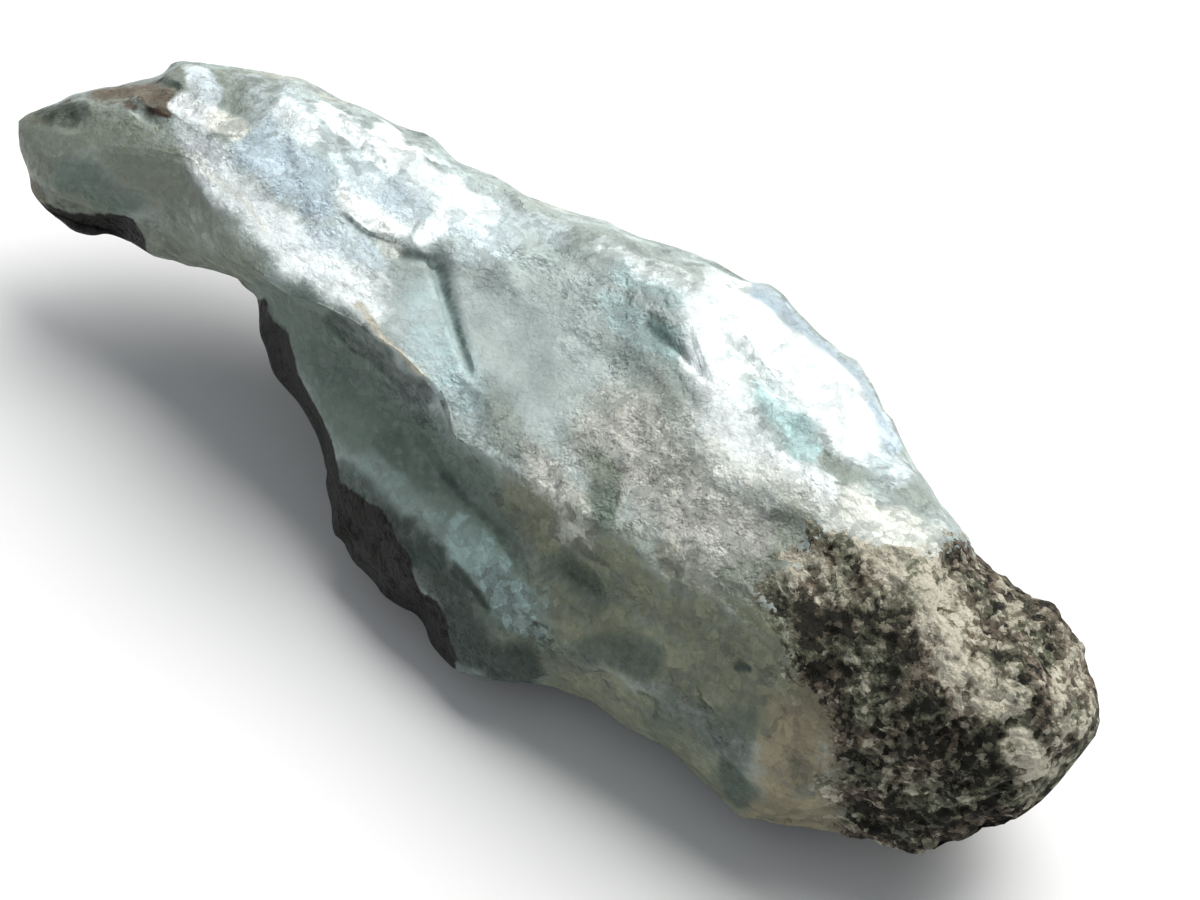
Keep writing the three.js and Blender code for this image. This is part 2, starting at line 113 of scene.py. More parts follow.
LOWER_EDGE = (
    HEAD_TIP, (-65.4, -2.3, 0.7), (-63.5, -4, 1.3), (-60, -5.2, 1.6), (-57, -4.6, 1.6),
    (-54, -3.9, 1.6), (-51.5, -4.6, 1.6), (-48.3, -5, 1.4), (-44, -3.6, 1.6), (-38.5, -2.9, 1.8),
    (-36.5, -3.4, 2.2), (-35, -4.6, 2.6), (-33, -5.6, 3.2), (-30, -8.2, 4), (-27, -10.2, 4.6),
    (-24, -12.1, 5.2), (-20, -13.6, 6), (-13, -15.5, 7.2), (-10, -16.6, 7.6), (-6.5, -17.4, 8),
    (-3, -18.5, 8.2), (0, -19.4, 8.2), (4, -20, 8), (8, -20.6, 7.4), (14, -19.8, 7.4), (20, -20, 7.4),
    (28, -21.6, 6.8), (34, -20.6, 6.2), (42, -18, 4.6), (48, -15.6, 3), (53, -11.4, 1.6),
    (56.2, -6, 0.5), BASALT_TIP,
)
BOTTOM = (
    HEAD_TIP, (-66.2, -1.2, -0.2), (-65.4, -2.6, -0.4), (-63.9, -3.7, -0.6), (-63, -5, -0.8),
    (-61.5, -5.9, -1), (-59.7, -6.5, -1), (-57.8, -6.6, -1), (-56.3, -6.9, -1), (-55, -6.3, -1.2),
    (-51, -5.4, -1.4), (-48.3, -5.5, -1.4), (-45, -4.5, -1.6), (-43, -3.9, -1.8), (-40.5, -3.4, -1.8),
    (-38.3, -3.2, -2), (-37.1, -3.5, -2), (-36.6, -4.6, -2), (-36.2, -6.2, -2), (-35.8, -7, -2),
    (-34.2, -7.7, -2), (-33.5, -8.5, -2), (-32, -9.4, -2), (-27, -11.5, -2), (-25, -12.7, -1.8),
    (-23.5, -14.2, -1.6), (-23, -15.4, -1.6), (-21.3, -17.2, -1.5), (-20, -18.3, -1.5),
    (-19, -20, -1.4), (-16.2, -22, -1.2), (-13, -22.7, -1), (-11, -23.2, -0.8), (-7, -23.8, -0.6),
    (-5.5, -25, -0.4), (-2, -25.9, -0.2), (0, -25.8, -0.2), (3, -25, -0.2), (5, -23.8, -0.4),
    (7, -22.9, -0.5), (12, -22.5, -0.6), (20, -22.7, -0.8), (23, -23.6, -0.8), (25, -24.2, -0.8),
    (30, -25, -0.8), (33, -24.4, -0.8), (35, -23.6, -0.8), (36.5, -22.8, -0.8), (40, -21.4, -1),
    (42.5, -20.5, -1), (46.2, -19.7, -1), (48, -18.9, -1), (49.5, -17.5, -0.8), (50.5, -16, -0.8),
    (52.5, -14.3, -0.6), (53.8, -12.8, -0.6), (54.6, -11.5, -0.5), (55.9, -8.5, -0.4),
    (56.4, -6.4, -0.2), (56.8, -3.4, 0), BASALT_TIP,
)
NEAR_FOOT = (
    HEAD_TIP, (-63.5, -2.6, -2.6), (-58, -4.2, -4.6), (-50, -3.6, -6.5), (-42, -2.2, -7.8),
    (-37, -2.4, -8.4), (-34, -5, -8.8), (-28, -8.5, -9.8), (-20, -14.6, -10.4), (-12, -18, -11),
    (-4, -20, -11.2), (4, -19.6, -11.4), (12, -18.8, -11.8), (20, -18.8, -11.8), (30, -20, -11.2),
    (38, -17.5, -11.2), (46, -13, -9.6), (52, -8.5, -7), (56, -3.5, -2.6), BASALT_TIP,
)
FAR_FOOT = (
    HEAD_TIP, (-63.5, 0.2, -4), (-58, 0.5, -7.2), (-50, 2, -10.5), (-42, 3, -13), (-34, 1.5, -15),
    (-28, -1, -16.5), (-20, -4, -18.4), (-12, -5.5, -20.2), (-4, -6.2, -21), (4, -6.4, -21.2),
    (12, -6.2, -21.4), (20, -6.4, -21.2), (30, -7, -20.6), (38, -6.5, -18.6), (46, -5, -14.6),
    (52, -3.4, -9.6), (56, -1.6, -3.4), BASALT_TIP,
)
SHOULDER = (
    HEAD_TIP, (-63.5, 3.6, -3.2), (-58, 7.6, -6), (-50, 12.5, -8.8), (-42, 14, -11), (-34, 14.5, -12.4),
    (-26, 13.5, -13.4), (-18, 14, -14), (-10, 15, -14.6), (-2, 15.5, -15), (6, 15.5, -15.2),
    (14, 13.5, -15.4), (22, 10.5, -15.2), (30, 7.5, -14.6), (38, 4.5, -13.4), (46, 3.2, -10.6),
    (52, 2, -7), (56, 0.6, -2.6), BASALT_TIP,
)

# Faces between neighbouring edges: first and last edge, the solid's columns, bow, fineness.
FACES = (
    (TOP, CREST, 8, 0.11, FRONT_FINENESS),
    (CREST, RIDGE, 9, 0, FRONT_FINENESS),
    (RIDGE, LIP, 2, 0, FRONT_FINENESS),
    (LIP, VALLEY, 4, -0.04, FRONT_FINENESS),
    (VALLEY, LOWER_EDGE, 4, 0.05, FRONT_FINENESS),
    (LOWER_EDGE, BOTTOM, 4, 0.06, FRONT_FINENESS),
    (BOTTOM, NEAR_FOOT, 5, 0.08, BACK_FINENESS),
    (NEAR_FOOT, FAR_FOOT, 6, 0, BACK_FINENESS),
    (FAR_FOOT, SHOULDER, 7, 0.07, BACK_FINENESS),
    (SHOULDER, TOP, 5, 0.1, BACK_FINENESS),
)

# Relief that the solid has too. Paths and centres are (u, v).
# A groove has a path, half width and depth.
GROOVES = (
    (((-26.5, 7.2), (-23.4, 8.1)), 1.2, 0.9),
    (((-23.4, 8.4), (-19.2, 4.6), (-15, 0.4)), 1.5, 1.9),
    (((-1.8, 13.2), (2, 12.6), (5.5, 11.5)), 1.4, 1.3),
    (((-12, -10.2), (-5, -12.1), (-0.4, -14.8)), 1.8, 1.1),
    (((53.8, -4.6), (57.4, -4)), 2, 0.8),
)
# A ledge has a path, drop on its right and reach.
LEDGES = (
    (((-41, 16.4), (-36, 15.3), (-32.4, 13.8)), 1.3, 3),
    (((-34, 16.4), (-25, 16.1), (-20, 16.9), (-15, 15.8)), -1.1, 3),
    (((-35, 8.2), (-31, 7.4), (-26.5, 8.6)), 0.6, 2.4),
    (((2, 15), (4, 13.2), (6.5, 11.3)), 0.8, 2.4),
    (((5.5, 17.4), (10.5, 15.6), (17, 13.7)), 1.1, 3),
    (((11.8, 13.4), (13.4, 10.8), (18, 9.6)), -1, 2.6),
    (((18.4, 11), (19.6, 8.6), (24, 8.3), (27, 9.6)), -1.2, 2.6),
    (((-2, -18.2), (4, -18.4), (8, -20), (13, -19.4), (17, -18.5)), 1.1, 2.4),
    (((1.5, -12.4), (5, -11.2), (8, -12.6)), 0.9, 2),
    (((20, -16), (23, -17), (28, -18.6)), 0.9, 2.2),
)
# A hollow has a centre, half sizes and depth.
HOLLOWS = (
    ((-62.4, 3), (2.3, 2), 0.9),
    ((-56.6, 7.1), (2.6, 1), 0.8),
    ((-49.2, 12.2), (1.9, 2.2), 1.2),
    ((-52.2, 12), (1.8, 2), -0.8),
    ((-28.6, 9.6), (1.8, 1.1), 0.8),
    ((-41, 9.2), (5.5, 3.6), 0.7),
    ((-18, 7), (7, 5.5), 0.9),
    ((15.2, 12), (3, 2), 0.9),
    ((21.8, 10.6), (3, 2.2), 1),
    ((4.6, -12.8), (3.4, 2), 0.8),
    ((45, -8.5), (5, 3.4), 1.4),
)
# Where the basalt begins, as (v, u).
BASALT_BORDER = (
    (-26, 41), (-19, 37.5), (-15, 36.5), (-12, 33), (-10, 28.5), (-7, 25), (-5, 22), (0, 21.5),
    (4.5, 24), (7, 33.5), (12, 38),
)
BORDER_SOFTNESS = 2
# Lumps all over the stone come in waves, each with its length and height.
STONE_LUMPS = ((13, 0.8), (6, 0.5))
BASALT_LUMPS = ((8, 1), (4.4, 1))
BACK_LUMPS = ((17, 1.5), (7.5, 0.7))
BACK_STEP = 0.9
OUTLINE_CALM = 0.35
END_FADE = 4


def smoothstep(x, low, high):
    t = np.clip((x - low) / (high - low), 0, 1)
    return t * t * (3 - 2 * t)


def lerp(a, b, t):
    return a + (b - a) * t


def along(line, x, column):
    """Value of a line of (x, ...values) at x, by straight stretches."""
    return np.interp(x, [p[0] for p in line], [p[column] for p in line])


def soft_along(line, x, column):
    """The same with the corners between the stretches rounded, except at the two tips."""
    reach = np.minimum(CORNER_SOFTNESS, np.minimum(x - line[0][0], line[-1][0] - x))
    sides = along(line, x - reach, column) + along(line, x + reach, column)
    return (sides + 2 * along(line, x, column)) / 4


def scatter(i, j, k, seed=0.0):
    """Repeatable random value from 0 to 1 for each point of a lattice."""
    wave = np.sin(i * 127.1 + j * 311.7 + k * 74.7 + seed) * 43758.5453
    return wave - np.floor(wave)


def noise(p, length, seed=0.0):
    """Smooth noise from -1 to 1 that changes over the length in millimetres."""
    q = p / length
    cell = np.floor(q)
    f = q - cell
    f = f * f * (3 - 2 * f)
    i, j, k = cell[..., 0], cell[..., 1], cell[..., 2]
    planes = []
    for dk in (0, 1):
        rows = []
        for dj in (0, 1):
            low = scatter(i, j + dj, k + dk, seed)
            high = scatter(i + 1, j + dj, k + dk, seed)
            rows.append(lerp(low, high, f[..., 0]))
        planes.append(lerp(rows[0], rows[1], f[..., 1]))
    return 2 * lerp(planes[0], planes[1], f[..., 2]) - 1


def lumps(waves, p):
    return sum(height * noise(p, length) for length, height in waves)


def terraced(height, step):
    """Flattens a height into treads with soft risers between them."""
    level = np.floor(height / step)
    return step * (level + smoothstep(height / step - level, 0.25, 0.75))


def nearest(path, u, v):
    """Distance to a path, the side it is seen from, and the share of the path's length."""
    best = np.full(u.shape, np.inf)
    side = np.ones(u.shape)
    share = np.zeros(u.shape)
    spans = len(path) - 1
    for n in range(spans):
        (au, av), (bu, bv) = path[n], path[n + 1]
        du, dv = bu - au, bv - av
        t = np.clip(((u - au) * du + (v - av) * dv) / (du * du + dv * dv), 0, 1)
        ou = u - au - t * du
        ov = v - av - t * dv
        distance = np.hypot(ou, ov)
        closer = distance < best
        best = np.where(closer, distance, best)
        side = np.where(closer, np.where(du * ov - dv * ou < 0, -1, 1), side)
        share = np.where(closer, (n + t) / spans, share)
    return best, side, share


def groove_height(groove, u, v):
    path, width, depth = groove
    distance, _, share = nearest(path, u, v)
    taper = 1 - 0.6 * share
    return -depth * taper * smoothstep(1 - distance / (width * taper), 0, 1)


def ledge_height(ledge, u, v):
    path, drop, reach = ledge
    distance, side, share = nearest(path, u, v)
    ends = smoothstep(share, 0, 0.3) * smoothstep(1 - share, 0, 0.3)
    return np.where(side < 0, -drop * ends * np.exp(-distance / reach), 0)


def hollow_height(hollow, u, v):
    centre, size, depth = hollow
    r = ((u - centre[0]) / size[0]) ** 2 + ((v - centre[1]) / size[1]) ** 2
    return -depth * np.clip(1 - r, 0, 1) ** 2


def basalt_share(p, softness=BORDER_SOFTNESS):
    border = along(BASALT_BORDER, p[..., 1], 1) + 1.5 * noise(p, 3)
    return smoothstep(p[..., 0] - border, -softness, softness)


def face_relief(p):
    u, v = p[..., 0], p[..., 1]
    cuts = sum(groove_height(groove, u, v) for groove in GROOVES)
    scarps = sum(ledge_height(ledge, u, v) for ledge in LEDGES)
    return cuts + scarps + sum(hollow_height(hollow, u, v) for hollow in HOLLOWS)


def bare_stone():
    """The rings of the bare faces as an array of rows by columns by (u, v, w)."""
    t = np.arange(ROWS + 1) / ROWS
    u = lerp(HEAD_U, BASALT_U, t - END_CROWDING * np.sin(2 * math.pi * t) / (2 * math.pi))
    columns = []
    for first, last, count, bow, fineness in FACES:
        start = np.array((soft_along(first, u, 1), soft_along(first, u, 2)))
        end = np.array((soft_along(last, u, 1), soft_along(last, u, 2)))
        for n in range(count * fineness):
            share = n / (count * fineness)
            out = bow * 4 * share * (1 - share)
            v, w = lerp(start, end, share)
            v = v + out * (end[1] - start[1])
            w = w - out * (end[0] - start[0])
            columns.append(np.stack((u, v, w), axis=1))
    return worn(np.stack(columns, axis=1))


def worn(p):
    """Rounds the long edges as far as they are worn, but not the outline of the show face."""
    mean = (np.roll(p, FRONT_FINENESS, axis=1) + 2 * p + np.roll(p, -FRONT_FINENESS, axis=1)) / 4
    column = np.arange(p.shape[1])
    bottom = sum(face[2] * face[4] for face in FACES if face[4] == FRONT_FINENESS)
    to_outline = np.minimum(np.minimum(column, p.shape[1] - column), abs(column - bottom))
    start, end = SHARP_LIP
    sharp = smoothstep(p[..., 0], start - 3, start) * smoothstep(-p[..., 0], -end - 3, -end)
    share = lerp(1, LIP_WEAR, sharp) * np.minimum(1, to_outline / FRONT_FINENESS)
    return lerp(p, mean, share[..., None])


def normals(p, reach):
    """Outward unit normals of the rings, from neighbours so many steps away."""
    rows = np.arange(len(p))
    after = p[np.minimum(rows + reach, len(p) - 1)]
    before = p[np.maximum(rows - reach, 0)]
    across = np.roll(p, -reach, axis=1) - np.roll(p, reach, axis=1)
    out = np.cross(across, after - before)
    return out / np.maximum(np.linalg.norm(out, axis=2, keepdims=True), 1e-9)


def end_fade(p):
    return smoothstep(np.minimum(p[..., 0] - HEAD_U, BASALT_U - p[..., 0]), 0, END_FADE)


def solid_relief(p, out):
    """The height that the solid's surface has over its bare faces."""
    facing = smoothstep(out[..., 2], 0.05, 0.45)
    behind = smoothstep(-out[..., 2], 0, 0.4)
    calm = lerp(OUTLINE_CALM, 1, smoothstep(np.abs(out[..., 2]), 0.1, 0.6))
    rough = lerp(lumps(STONE_LUMPS, p), terraced(lumps(BACK_LUMPS, p), BACK_STEP), behind)
    rough = lerp(rough, lumps(BASALT_LUMPS, p), basalt_share(p))
    return end_fade(p) * (facing * face_relief(p) + calm * rough)


def to_world(p):
    """Turns points of the show face to the way the stone lies, in millimetres."""
    w = p[..., 2] + FACE_LEAN * p[..., 0]
    nearer = (EYE_DISTANCE - w) / EYE_DISTANCE
    return turned(np.stack((p[..., 0] * nearer, p[..., 1] * nearer, w), axis=-1) - REST_SPOT)


def turned(p):
    x, y = spun(p[..., 0], p[..., 1], -FACE_TURN)
    y, z = spun(y, p[..., 2], math.pi / 2 - EYE_ELEVATION)
    x, y = spun(x, y, HEADING)
    return np.stack((x, y, z), axis=-1)


def spun(a, b, angle):
    return a * math.cos(angle) - b * math.sin(angle), a * math.sin(angle) + b * math.cos(angle)


# Fine relief that only the visible surface has
CHIP_ROUNDING = 0.3


def neighbours(p, length, seed):
    """One scattered point in each lattice cell near p: the way to it in cell lengths, and a value."""
    q = p / length
    home = np.floor(q)
    for step in np.ndindex(3, 3, 3):
        cell = home + np.array(step) - 1
        i, j, k = cell[..., 0], cell[..., 1], cell[..., 2]
        jitter = [scatter(i, j, k, seed + shift) for shift in (0.3, 1.7, 2.9)]
        yield q - cell - np.stack(jitter, axis=-1), scatter(i, j, k, seed + 4.1)


def cells(p, length, seed):
    """Distance to the nearest scattered point in cell lengths, and that point's random value."""
    best = np.full(p.shape[:-1], np.inf)
    value = np.zeros(p.shape[:-1])
    for way, random in neighbours(p, length, seed):
        distance = np.linalg.norm(way, axis=-1)
        value = np.where(distance < best, random, value)
        best = np.minimum(best, distance)
    return best, value


def chips(p, length, tilt, seed):
    """Flat chips of a broken face, each tilted its own way: their height and a value for each.

    The steps between them are rounded over CHIP_ROUNDING.
    """
    weights, heights, values = 1e-12, 0, 0
    for way, random in neighbours(p, length, seed):
        turn = 2 * math.pi * random
        lean = way[..., 0] * np.cos(turn) + way[..., 1] * np.sin(turn)
        height = lean + 0.6 * (np.modf(random * 7.3)[0] - 0.5)
        weight = np.exp(-np.linalg.norm(way, axis=-1) * length / CHIP_ROUNDING)
        weights = weights + weight
        heights = heights + weight * height
        values = values + weight * random
    return tilt * length * heights / weights, values / weights


def stretched(p, direction, ratio):
    """Points squeezed along a direction of the face, so that what is drawn on them runs along it."""
    angle = math.radians(direction)
    a, b = spun(p[..., 0], p[..., 1], -angle)
    return np.stack((a / ratio, b, p[..., 2]), axis=-1)


def fine_relief(p, masks):
    """Height of the small forms, and the tone from 0 to 1 that goes with them. The tone is darker in the
    basalt's pits as painted shade, and lighter on the grit's bumps as painted light.
    """
    grit = 0.5 * noise(p, 1.1, 5.0) + 0.5 * noise(p, 0.6, 6.0)
    plate, plate_tone = chips(p, 6, 0.1, 13.0)
    streak, streak_tone = chips(stretched(p, -14, 2.8), 2.2, 0.12, 11.0)
    flake, flake_tone = chips(stretched(p, -18, 1.5), 1.3, 0.28, 17.0)
    broken = 1 - 0.8 * masks["calm"]
    larimar = broken * (plate + streak + 0.06 * grit)
    larimar_tone = 0.5 + broken * (0.25 * (plate_tone - 0.5) + 0.5 * (streak_tone - 0.5))
    larimar = lerp(larimar, plate + flake + 0.12 * grit, masks["grain"])
    # In the grainy zone the tone is lighter on the grit's bumps: painted light.
    larimar_tone = lerp(larimar_tone, 0.5 + 0.8 * (flake_tone - 0.5) + 0.2 * grit, masks["grain"])
    ragged = p + 0.55 * np.stack([noise(p, 1.3, seed) for seed in (21.0, 23.0, 25.0)], axis=-1)
    lump, lump_tone = cells(ragged, 2.8, 27.0)
    pits = sum(pit_depth(ragged, length, seed) for length, seed in ((2, 29.0), (1.3, 31.0)))
    rock = 0.6 * (0.55 - lump) - 0.25 * pits + 0.3 * grit
    # The rock's tone is darker in the pits and lighter on the grit's bumps: painted shade and painted
    # light.
    rock_tone = 0.55 + 0.4 * (lump_tone - 0.5) - 0.15 * pits + 0.15 * grit
    return lerp(larimar, rock, masks["basalt"]), lerp(larimar_tone, rock_tone, masks["basalt"])


def pit_depth(p, length, seed):
    """Round pits in some of the cells, from 0 to 1."""
    distance, value = cells(p, length, seed)
    return smoothstep(0.55 - distance, 0, 0.25) * (value > 0.3)


# Colours of the stone by name, as red, green and blue from 0 to 255.
COLOURS = {
    "larimar": (156, 168, 165),
    "pale": (180, 192, 189),
    "sage": (128, 135, 122),
    "teal": (107, 122, 113),
    "slate": (74, 87, 80),
    "olive": (126, 130, 110),
    "tan": (140, 133, 110),
    "brown": (106, 98, 84),
    "rust": (196, 191, 174),
    "grain": (184, 185, 177),
    "ice": (206, 220, 224),
    "blue": (184, 201, 211),
    "aqua": (170, 197, 197),
    "white": (243, 251, 251),
    "cream": (228, 230, 220),
    # dark: painted shade in the grooves, in hollows and under the sharp lip, besides dark marks of the
    # stone itself
    "dark": (52, 64, 58),
    "stain": (74, 58, 46),
    "skin": (12, 12, 10),
    "basalt": (102, 104, 86),
    "basalt_brown": (110, 99, 86),
    "basalt_dark": (34, 33, 27),
    "basalt_light": (194, 189, 171),
}

# Where each colour lies on the show face. An area is a path, its half width and its strength.
# The last three say where the larimar is smooth and where the basalt is pale or dark.
AREAS = {
    "sage": (
        (((-64, 0), (-59, 3), (-54, 2.5), (-50, 1), (-46, -1.5), (-41, -2.8)), 5.5, 1),
        (((-66, -1), (-62, -4), (-56, -4), (-49, -5), (-42, -4)), 3.5, 1),
        (((-37, -2.8), (-30, -3)), 2, 0.7),
        (((-56.5, 10.5), (-54.5, 12.5), (-52, 14.5), (-47, 15.6)), 1.8, 0.8),
        (((-49.6, 13.6), (-48.8, 12)), 2.2, 0.65),
        (((-50, 8), (-46, 9.5)), 1, 0.7),
        (((-22, 17.8), (-14, 17.6), (-6, 19.3), (1, 19.6)), 1.6, 0.3),
        (((1.6, -1), (3, -5), (1, -8)), 2.8, 1),
        (((-11, -1), (-8, -4)), 3, 0.5),
        (((20, 4.5), (21, 0), (19, -5)), 3.5, 0.8),
        (((20, 11), (23, 9.8)), 3, 0.6),
        (((28, 11.5), (31, 10)), 1.8, 0.4),
    ),
    "teal": (
        (((-34, -3.5), (-27, -6), (-20, -9), (-12, -12), (-6, -14), (-1, -16.5)), 6, 1),
        (((-17, -7.5), (-8, -9)), 3, 1),
        (((-0.5, 13.4), (5, 11.8)), 2, 0.8),
        (((2.5, -3.5), (3.5, -6.5)), 2, 0.6),
        (((-4, 10), (4, 8.5)), 3, 0.35),
        (((-60, -2.5), (-54, -1.5)), 2.6, 0.85),
        (((-2, -18.5), (6, -19.5)), 2, 0.5),
    ),
    "slate": (
        (((2.5, -12.5), (7.5, -12.8)), 3, 0.6),
        (((9, -18), (13, -16.5), (15, -16)), 2.4, 0.7),
        (((19, -19.5), (25, -17.5), (28, -20.5)), 3.6, 0.6),
        (((27, -21.5), (29.5, -23.5)), 2.8, 0.8),
        (((-21, -14.5), (-13, -17)), 2.4, 0.9),
        (((-19, -9.5), (-14, -11.5)), 2, 0.5),
        (((-12, -18), (-6, -19.8), (0, -23), (3, -24)), 3.8, 1),
        (((-4, -25), (1, -23), (4, -23)), 3.4, 1),
    ),
    "olive": (
        (((-4, -9.5), (5, -10), (15, -10.5), (25, -11), (30, -12)), 6, 1),
        (((-1, -17), (8, -15.5), (18, -14.5), (27, -15)), 6, 1),
        (((3, -20), (12, -21.5), (22, -22.5), (30, -24), (36, -23)), 5, 1),
        (((17, -6), (21, -4), (22, 1)), 2.5, 0.6),
        (((12, -5.5), (20, -6.5), (27, -8.5)), 3, 1),
    ),
    "tan": (
        (((30, -13.5), (32.5, -17), (33, -21), (34, -24)), 4.5, 1),
        (((30, -10.5), (34, -13), (37, -17), (37.5, -21), (41, -20.6)), 3.5, 1),
        (((9.5, 9.5), (9.5, 8)), 1.5, 0.5),
    ),
    "brown": (
        (((-61, 7.4), (-57.5, 8.8), (-54.5, 8.6)), 2.3, 1),
        (((-65.5, 1), (-63, 3.5)), 1.5, 0.4),
        (((-63, -5), (-59, -6.3), (-49, -5.2)), 0.9, 0.6),
    ),
    "rust": (
        (((-50, 15.6), (-44.8, 17.2), (-38, 17.9), (-32, 18.4)), 0.6, 0.4),
        (((-28, 0.6), (-25, -0.6), (-22, -1.3), (-19, -2.2)), 0.8, 0.9),
        (((-20, 18.7), (-12, 19.4)), 0.5, 0.35),
        (((-35, 9.3), (-32, 9.6)), 0.8, 0.4),
    ),
    "grain": (
        (((2, 3), (10, 0), (18, -1)), 8, 1),
        (((3, 8), (8, 7)), 3, 0.6),
        (((-5, -3.5), (-2, -5.5), (2, -8)), 3.2, 0.9),
    ),
    "ice": (
        (((-47, 14), (-38, 14)), 4, 0.4),
        (((-34, 12), (-30, 12.5), (-24, 13.2), (-20, 13.5)), 5, 0.8),
        (((-37, 7), (-30, 5)), 3, 0.6),
        (((-22, 2), (-16, 0), (-14.5, -2)), 3.5, 0.45),
        (((-18, 15.5), (-14, 17)), 2.5, 0.5),
        (((14, 16), (20, 14.5)), 4, 0.6),
        (((-49, -0.5), (-45, -1)), 3, 0.15),
        (((23, 13.8), (27, 12.3)), 1.8, 0.5),
    ),
    "blue": (
        (((-44, 10), (-38.5, 8.5)), 4.2, 0.9),
        (((6, 22.2), (12, 21), (18, 19.5), (22, 17.5), (25, 15)), 1.4, 0.9),
        (((-52.5, 12.8), (-51.5, 12)), 2, 0.5),
        (((-31, 12), (-28, 12)), 2, 0.5),
        (((-36, 4.5), (-30, 5.5)), 2, 0.4),
    ),
    "aqua": (
        (((12.5, 13.5), (16, 12), (17, 10.5)), 2.6, 0.9),
        (((-6, 12.5), (-2, 12), (2, 13)), 2.6, 0.6),
        (((-7, 16.5), (-1, 17)), 1.8, 0.4),
        (((-22, 4), (-17, 1), (-14.5, -2)), 4, 0.4),
        (((-20, -12.5), (-10, -14.3)), 2.6, 0.2),
        (((-9, -14.5), (-2, -16.3), (3, -17.5)), 2.8, 0.4),
    ),
    "white": (
        (((2, 18.5), (4.5, 15.5), (8, 12), (11, 8)), 4, 1),
        (((3, 19.5), (10, 18), (16, 16.5), (22, 14.5)), 4.2, 1),
        (((11, 7), (16, 7.3), (22, 7.2)), 2, 1),
        (((-41, 16), (-36, 15.3), (-32.5, 14.2)), 1.2, 0.75),
        (((-34, 16.2), (-27, 15.2), (-21, 15)), 1.6, 0.8),
        (((-30, 13.2), (-20, 13.2)), 1, 0.5),
        (((-50, 6.8), (-45, 5), (-40, 3.6), (-36, 2.6), (-31, 2.2), (-27, 1.2)), 3.2, 0.95),
        (((-53, 9.5), (-51, 9.2)), 1.8, 1),
        (((-52.8, 12.6), (-51.8, 12)), 1.9, 0.8),
        (((-34.5, 9.5), (-30, 9.3), (-28.5, 9.8)), 1.8, 0.8),
        (((-25.8, 9.6), (-25.3, 12)), 1.3, 1),
        (((-44.5, 13.8), (-41.5, 13)), 1.8, 0.6),
        (((-9, 18), (-4, 18.3), (0, 19)), 1.6, 0.35),
    ),
    "cream": (
        (((10, 6), (16, 5.8), (24, 6), (34, 8.5)), 2.2, 0.6),
        (((25, 8), (33, 7.5)), 2.5, 0.8),
        (((-4.5, -4.5), (-1, -6), (1.5, -8.2)), 2.4, 0.35),
        (((-50, 9.5), (-47, 10)), 1.2, 0.8),
        (((-50, 5.6), (-45, 4.6), (-40, 2.8)), 0.9, 0.5),
        (((-31, 9.7), (-28, 7)), 1.4, 0.4),
    ),
    # Painted shade in the grooves, in hollows and under the sharp lip, besides dark marks of the stone
    # itself.
    "dark": (
        # These two: painted shade in the V groove.
        (((-26.8, 7.6), (-23.6, 8.3), (-22.4, 8)), 0.7, 0.4),
        (((-22.6, 7.8), (-19.3, 4.6), (-15, 0.6)), 0.9, 0.6),
        # Painted shade under the sharp lip.
        (((-29, -1.7), (-24, -2.6), (-18, -4.3)), 1.7, 0.6),
        # Painted shade in the groove below the white lobes.
        (((-0.5, 13), (2, 12.8), (4, 12.3)), 1.1, 0.45),
        # These two: painted shade in the hollow near the head's tip.
        (((-64.5, 2), (-62.4, 3)), 1.9, 0.7),
        (((-61.8, 4.6), (-61, 4)), 1, 0.5),
        (((-57.5, 10.6), (-54.5, 11)), 0.9, 0.8),
        (((-49.5, 8), (-46.8, 9.7)), 0.6, 0.5),
        (((-33.2, 14.9), (-32.6, 14)), 0.5, 0.8),
        (((-33.8, 8.2), (-32.8, 7.6)), 0.6, 0.5),
        # Painted shade along the groove on the lower facets.
        (((-16, -8), (-12.5, -9.5), (-9.5, -11), (-5, -12.2), (-1, -14.6)), 1, 0.3),
        (((-14, -17), (-8, -19)), 2.6, 0.75),
        (((-6, -21.5), (-2, -23), (3, -22)), 3.2, 0.75),
        (((6, 22), (12, 21), (18, 19.5), (23, 17)), 1.5, 0.2),
        (((-7, -17.4), (-3.5, -18.6), (-1.8, -19)), 0.9, 0.9),
        (((23.2, -12), (24.2, -11.6)), 1, 0.8),
        (((15.5, -19.3), (17.5, -19), (17.9, -20.5)), 0.6, 0.7),
        (((2.5, -9.6), (6.5, -9.5)), 0.9, 0.5),
    ),
    "stain": (
        (((-58, 6.7), (-57.2, 6.8)), 0.8, 0.8),
        (((-55.8, 7.2), (-54, 7.5)), 0.8, 0.9),
    ),
    "calm": (
        (((-23, 4), (-15, 5), (-9, 3)), 8, 1),
        (((-32, -5), (-22, -9), (-8, -13)), 5, 1),
        (((-63, 0), (-56, 1), (-46, -1)), 5, 0.9),
        (((-46, 5), (-36, 2), (-27, 1)), 3, 0.7),
        (((2, 18), (8, 12), (11, 8)), 4, 0.6),
        (((3, 19.5), (12, 17.5), (22, 14.5)), 4, 0.6),
        (((-34, 16), (-24, 15), (-16, 15)), 2.5, 0.5),
    ),
    "rock_pale": (
        (((27, 6.5), (33, 5), (38, 2.5), (42, -1), (45, -2.5)), 4.4, 1),
        (((50, -5), (54, -6)), 2.4, 0.85),
        (((40, 8), (46, 6.5)), 3, 0.2),
        (((51, 5), (54, 0)), 3.4, 0.6),
        (((22, -1), (27, -1)), 3, 0.4),
    ),
    "rock_dark": (
        (((40, -7), (45, -8.5), (50, -9)), 5, 1),
        (((28, -6), (36, -5)), 6, 1),
        (((38, -16), (46, -17), (51, -12)), 4, 0.7),
    ),
}
TINT_ORDER = (
    "olive", "grain", "sage", "teal", "slate", "tan", "brown", "ice", "aqua", "white", "blue",
    "cream", "rust", "dark", "stain",
)
